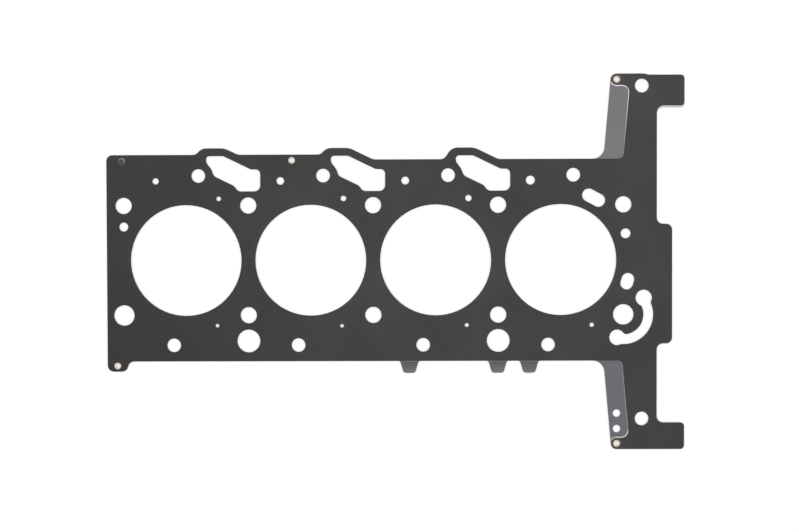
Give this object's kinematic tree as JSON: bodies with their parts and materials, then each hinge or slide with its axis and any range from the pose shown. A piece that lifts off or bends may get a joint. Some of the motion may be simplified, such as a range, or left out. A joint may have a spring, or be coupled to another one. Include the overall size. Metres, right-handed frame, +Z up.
{
  "type": "cylinder head gasket",
  "caption": "Flat multi-layer steel cylinder head gasket: black coated sheet riveted on a bare steel carrier, with bolt, coolant and oil openings.",
  "frame": {"origin": "midway along the row of bore centres, on the face that lies on the engine block", "axes": "+X along the row of bores towards the timing-case end, +Y across the engine towards the row with the windows, +Z up through the sheets to the cylinder head"},
  "size_m": [0.4531, 0.2943, 0.0012],
  "materials": {
    "black_coating": "satin black elastomer coating on spring steel",
    "bare_steel": "rolled, satin",
    "eyelet_steel": "pale plated steel"
  },
  "bodies": {
    "root": {"coated_sheet": "black_coating", "carrier_sheet": "bare_steel", "upper_case_eyelet": "eyelet_steel", "lower_case_eyelet": "eyelet_steel", "lug_eyelet": "eyelet_steel", "bridge_eyelet": "eyelet_steel", "corner_rivet": "eyelet_steel"}
  },
  "joints": []
}
